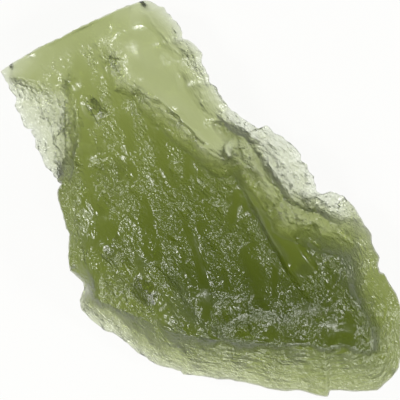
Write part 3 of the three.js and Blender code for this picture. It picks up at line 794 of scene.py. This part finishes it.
def add_node(tree, kind, **settings):
    """A node of the given kind, with its settings and its unlinked inputs filled in."""
    node = tree.nodes.new(kind)
    for name, value in settings.items():
        if isinstance(value, bpy.types.NodeSocket):
            tree.links.new(value, node.inputs[name.replace("_", " ")])
        elif hasattr(node, name):
            setattr(node, name, value)
        else:
            node.inputs[name.replace("_", " ")].default_value = value
    return node


def math_node(tree, operation, *values):
    """The result of a math node, each of its inputs a number or a socket."""
    node = tree.nodes.new("ShaderNodeMath")
    node.operation = operation
    for socket, value in zip(node.inputs, values):
        if isinstance(value, bpy.types.NodeSocket):
            tree.links.new(value, socket)
        else:
            socket.default_value = value
    return node.outputs[0]


def etched_skin_group():
    """Grain, flow lines and wrinkles. The grain is a noise drawn out along the flow, as strong as the
    place is pitted; the flow lines are thinner; the wrinkles follow the edge and fade away from it."""
    tree = bpy.data.node_groups.new("Etched skin", "ShaderNodeTree")
    for name, value in SKIN_INPUTS.items():
        tree.interface.new_socket(name, in_out="INPUT", socket_type="NodeSocketFloat").default_value = value
    tree.interface.new_socket("Normal", in_out="OUTPUT", socket_type="NodeSocketVector")
    tree.interface.new_socket("Roughness", in_out="OUTPUT", socket_type="NodeSocketFloat")
    given = tree.nodes.new("NodeGroupInput").outputs
    result = tree.nodes.new("NodeGroupOutput").inputs

    place = add_node(tree, "ShaderNodeTexCoord").outputs["Object"]
    stretch = (GRAIN_STRETCH / MM, 1 / MM, 1 / MM)
    lean = add_node(tree, "ShaderNodeMapping", Vector=place, Rotation=(0, 0, -FLOW_TURN), Scale=stretch)
    flow = lean.outputs[0]
    finer = math_node(tree, "DIVIDE", 1, given["Grain size mm"])
    grain = add_node(tree, "ShaderNodeTexNoise", Vector=flow, Scale=finer, Detail=1.5, Roughness=0.55)
    strong = math_node(tree, "MULTIPLY", given["Grain depth mm"], given["Pitted"])
    lines = add_node(tree, "ShaderNodeMapping", Vector=flow, Scale=LINE_STRETCH)
    streaks = add_node(tree, "ShaderNodeTexNoise", Vector=lines.outputs[0], Scale=LINE_FINENESS, Detail=3.0)
    drawn = math_node(tree, "MULTIPLY", streaks.outputs["Fac"], given["Line depth mm"])
    beside = tree.nodes.new("ShaderNodeCombineXYZ")
    along_edge, off_edge = WRINKLE_FINENESS
    tree.links.new(math_node(tree, "MULTIPLY", given["Edge distance mm"], off_edge), beside.inputs[2])
    slow = add_node(tree, "ShaderNodeMapping", Vector=place, Scale=(along_edge / MM, along_edge / MM, 0))
    folded = tree.nodes.new("ShaderNodeVectorMath")
    tree.links.new(slow.outputs[0], folded.inputs[0])
    tree.links.new(beside.outputs[0], folded.inputs[1])
    wrinkles = add_node(tree, "ShaderNodeTexNoise", Vector=folded.outputs[0], Scale=1.0, Detail=2.0)
    folds = math_node(tree, "MULTIPLY", given["Wrinkled"], given["Wrinkle depth mm"])
    height = math_node(tree, "MULTIPLY_ADD", grain.outputs["Fac"], strong, drawn)
    height = math_node(tree, "MULTIPLY_ADD", wrinkles.outputs["Fac"], folds, height)
    bump = add_node(tree, "ShaderNodeBump", Strength=1.0, Distance=MM, Height=height)
    tree.links.new(bump.outputs[0], result["Normal"])
    span = math_node(tree, "SUBTRACT", given["Pitted roughness"], given["Smooth roughness"])
    rough = math_node(tree, "MULTIPLY_ADD", given["Pitted"], span, given["Smooth roughness"])
    tree.links.new(rough, result["Roughness"])
    return tree


etched_skin = etched_skin_group()
print("skin inputs:", [item.name for item in etched_skin.interface.items_tree if item.in_out == "INPUT"])

# %% [markdown]
# Moldavite's green is in the glass, not on it: a thin flange is clear and the thick heart is bottle green.
# A painted colour would look the same everywhere. The glass here is clear and takes light away with depth,
# most of the blue and least of the green, so the colours of flange, shelf and heart all follow from the
# thickness.

# %% The glass
GLASS_IOR = 1.49
ABSORPTION_PER_METRE = 605
ABSORPTION_COLOUR = (0.521, 0.579, 0.071, 1)
SKIN_COLOUR = (0.84, 0.87, 0.78, 1)  # what the etched skin lets through


def glass_material():
    """See-through glass: plain transmission and absorption, with the etched skin's normal and roughness."""
    material = bpy.data.materials.new("Moldavite glass")
    material.use_nodes = True
    tree = material.node_tree
    shader = tree.nodes["Principled BSDF"]
    shader.inputs["Base Color"].default_value = SKIN_COLOUR
    shader.inputs["Transmission Weight"].default_value = 1
    shader.inputs["IOR"].default_value = GLASS_IOR
    skin = tree.nodes.new("ShaderNodeGroup")
    skin.node_tree = etched_skin
    carried = {"Pitted": "pitted", "Wrinkled": "wrinkled", "Edge distance mm": "edge_distance"}
    for name, attribute in carried.items():
        number_here = add_node(tree, "ShaderNodeAttribute", attribute_name=attribute)
        tree.links.new(number_here.outputs["Fac"], skin.inputs[name])
    for name in ("Normal", "Roughness"):
        tree.links.new(skin.outputs[name], shader.inputs[name])
    depth = tree.nodes.new("ShaderNodeVolumeAbsorption")
    depth.inputs["Color"].default_value = ABSORPTION_COLOUR
    depth.inputs["Density"].default_value = ABSORPTION_PER_METRE
    tree.links.new(depth.outputs[0], tree.nodes["Material Output"].inputs["Volume"])
    return material


stone.data.materials.append(glass_material())
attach(stone, "root")
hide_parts("moldavite")
print("material:", stone.data.materials[0].name, "with an absorption of", ABSORPTION_PER_METRE, "per metre")

# %% [markdown]
# Such a stone is photographed on a pale ground that is lit from below, so that its green shows. The floor
# here is matt and gives off a soft light of its own around the stone. Four small lamps high up put the
# white sparks on the skin, two broad low ones soften its right side, and the dim room around leaves the
# steep walls dark.

# %% The floor, the lamps and the room
FLOOR_HALF = 0.6  # m
FLOOR_GAP = 0.00002  # m, so that the stone and the floor share no plane
FLOOR_COLOUR, GLOW_COLOUR = (0.02, 0.02, 0.02, 1), (1, 1, 0.985, 1)
FLOOR_ROUGHNESS, FLOOR_SPECULAR = 0.9, 0.1
GLOW_RADIUS = 0.026  # m, the even part of the glow
GLOW_END = 3 * GLOW_RADIUS  # where it has faded
GLOW, FAR_GLOW = 0.94, 0.6


def floor_material():
    """Matt, with a pale glow that is even around the stone and then fades as a smooth step of distance."""
    material = bpy.data.materials.new("Pale floor")
    material.use_nodes = True
    tree = material.node_tree
    shader = tree.nodes["Principled BSDF"]
    shader.inputs["Base Color"].default_value = FLOOR_COLOUR
    shader.inputs["Roughness"].default_value = FLOOR_ROUGHNESS
    shader.inputs["Specular IOR Level"].default_value = FLOOR_SPECULAR
    place = add_node(tree, "ShaderNodeTexCoord").outputs["Object"]
    away = add_node(tree, "ShaderNodeVectorMath", operation="LENGTH", Vector=place)
    fade = add_node(
        tree, "ShaderNodeMapRange", interpolation_type="SMOOTHSTEP", Value=away.outputs["Value"],
        From_Min=GLOW_RADIUS, From_Max=GLOW_END, To_Min=GLOW, To_Max=FAR_GLOW,
    )
    shader.inputs["Emission Color"].default_value = GLOW_COLOUR
    tree.links.new(fade.outputs[0], shader.inputs["Emission Strength"])
    material.cycles.emission_sampling = "NONE"
    return material


floor_mesh = bpy.data.meshes.new("floor")
floor_corners = [(x * FLOOR_HALF, y * FLOOR_HALF, 0) for x, y in ((-1, -1), (1, -1), (1, 1), (-1, 1))]
floor_mesh.from_pydata(floor_corners, [], [(0, 1, 2, 3)])
floor_mesh.materials.append(floor_material())
floor = bpy.data.objects.new("floor", floor_mesh)
floor.location.z = -FLOOR_GAP
bpy.context.scene.collection.objects.link(floor)

LAMPS = [  # degrees from the plan's right towards its bottom, height, distance and size in m, power in W
    (10, 0.24, 0.3, 0.08, 1.2), (65, 0.24, 0.3, 0.08, 0.7), (100, 0.24, 0.3, 0.08, 0.7),
    (195, 0.24, 0.3, 0.08, 1.5), (85, 0.1, 0.36, 0.2, 0.6), (20, 0.1, 0.36, 0.2, 0.6),
]


def soft_lamp(name, plan_direction, height, reach, size, power):
    """A square lamp that faces the stone, placed by the plan's direction so that it stays with the
    camera."""
    data = bpy.data.lights.new(name, "AREA")
    data.size, data.energy = size, power
    lamp = bpy.data.objects.new(name, data)
    x, y = turned(plan_direction) / np.hypot(*plan_direction) * reach
    lamp.location = (x, y, height)
    lamp.rotation_euler = (-lamp.location).to_track_quat("-Z", "Y").to_euler()
    bpy.context.scene.collection.objects.link(lamp)


for turn, height, reach, size, power in LAMPS:
    direction = (math.cos(math.radians(turn)), math.sin(math.radians(turn)))
    soft_lamp(f"lamp_{turn}", direction, height, reach, size, power)

ROOM_COLOUR = (0.97, 0.98, 1, 1)
ROOM_LIGHT = dict(From_Max=0.7, To_Min=0.6, To_Max=0.07)  # it gets darker up to this height in the room
world = bpy.data.worlds.new("dim room")
bpy.context.scene.world = world
world.use_nodes = True
world.cycles.sampling_method = "NONE"
room = world.node_tree.nodes["Background"]
room.inputs["Color"].default_value = ROOM_COLOUR
skyward = add_node(world.node_tree, "ShaderNodeTexCoord").outputs["Generated"]
room_height = add_node(world.node_tree, "ShaderNodeSeparateXYZ", Vector=skyward).outputs["Z"]
room_light = add_node(world.node_tree, "ShaderNodeMapRange", Value=room_height, **ROOM_LIGHT)
world.node_tree.links.new(room_light.outputs[0], room.inputs["Strength"])
print("lamps:", len(LAMPS), "- together", round(sum(lamp[-1] for lamp in LAMPS), 1), "W")

# %% [markdown]
# The stone was seen from straight above, filling the frame. A wide lens would lean its walls outwards, so
# the camera is a long one, far up, and it is turned so that the broken end lies at the upper left.

# %% The camera
PICTURE_STEPS = 400  # steps of the plan across the picture
LENS, SENSOR = 300, 36  # mm
RIM_HEIGHT = 2.2  # mm above the floor, where the plan's steps have their size
NEAR, FAR = 0.01, 10  # m, what the camera sees
camera_data = bpy.data.cameras.new("camera")
camera_data.lens, camera_data.sensor_width = LENS, SENSOR
camera_data.clip_start, camera_data.clip_end = NEAR, FAR
camera = bpy.data.objects.new("camera", camera_data)
camera_distance = PICTURE_STEPS * STEP * LENS / SENSOR
camera_x, camera_y = to_stone((PICTURE_STEPS / 2, PICTURE_STEPS / 2)) * MM
camera.location = (camera_x, camera_y, (RIM_HEIGHT + camera_distance) * MM)
camera.rotation_euler = (0, 0, PLAN_TURN)
bpy.context.scene.collection.objects.link(camera)
bpy.context.scene.camera = camera
bpy.context.scene.view_settings.view_transform = "Standard"
print("the camera is", round(camera_distance), "mm above the stone's edge")
